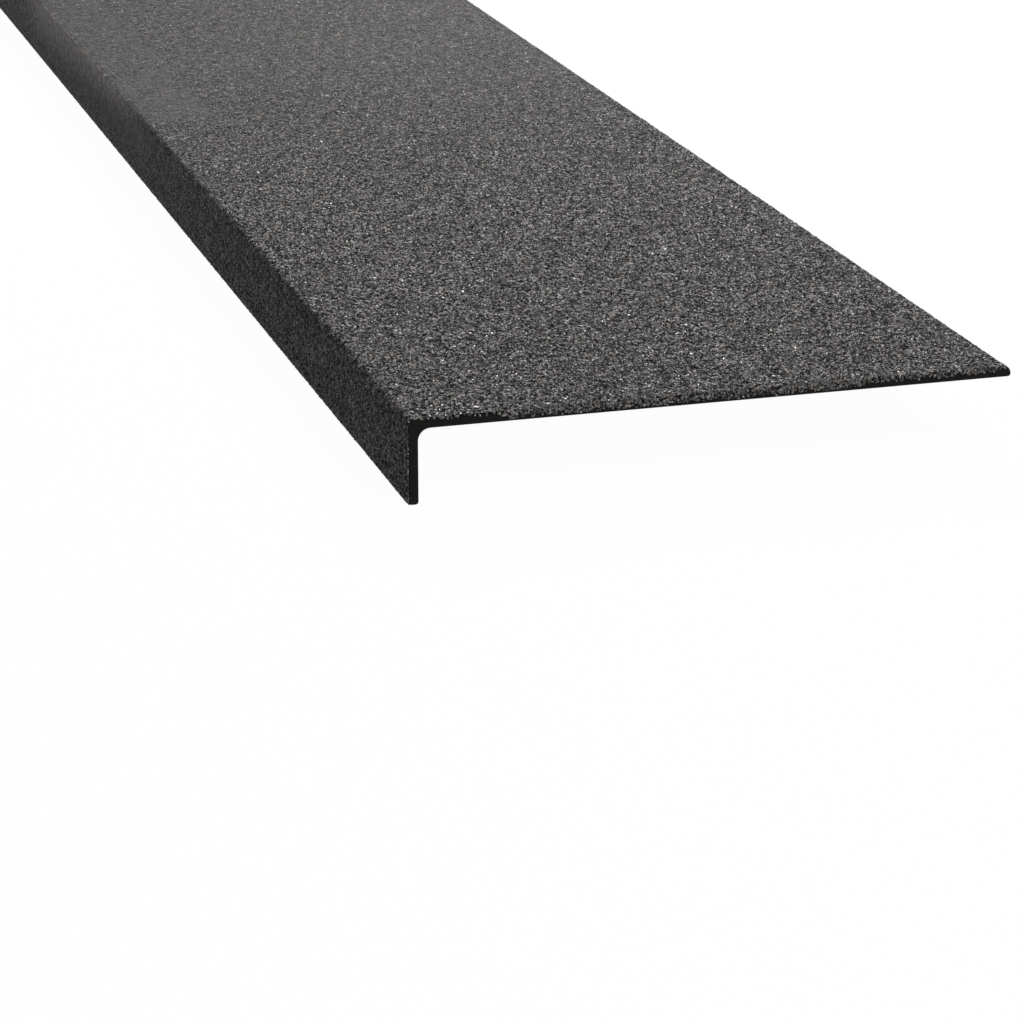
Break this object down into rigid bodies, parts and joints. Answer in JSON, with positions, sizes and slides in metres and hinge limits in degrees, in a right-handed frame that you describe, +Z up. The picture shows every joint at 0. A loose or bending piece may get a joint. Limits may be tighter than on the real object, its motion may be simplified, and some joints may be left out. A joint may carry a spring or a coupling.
{
  "type": "anti-slip stair tread strip",
  "caption": "Flat gritted cover for a stair tread with a short lip down its front edge: one moulded angle that beds on the step and hooks over its nosing.",
  "frame": {"origin": "middle of the tread plate's underside, halfway between the cut ends and halfway from the lip's inside face to the back edge", "axes": "+X along the strip's length, +Y from the lip at the front to the back edge, +Z up out of the walking face"},
  "size_m": [1, 0.2295, 0.0316],
  "materials": {
    "gritted_resin": "matt near-black moulded resin with a grey mineral grit bonded to the walking face and the front"
  },
  "bodies": {
    "root": {"tread_strip": "gritted_resin"}
  },
  "joints": []
}
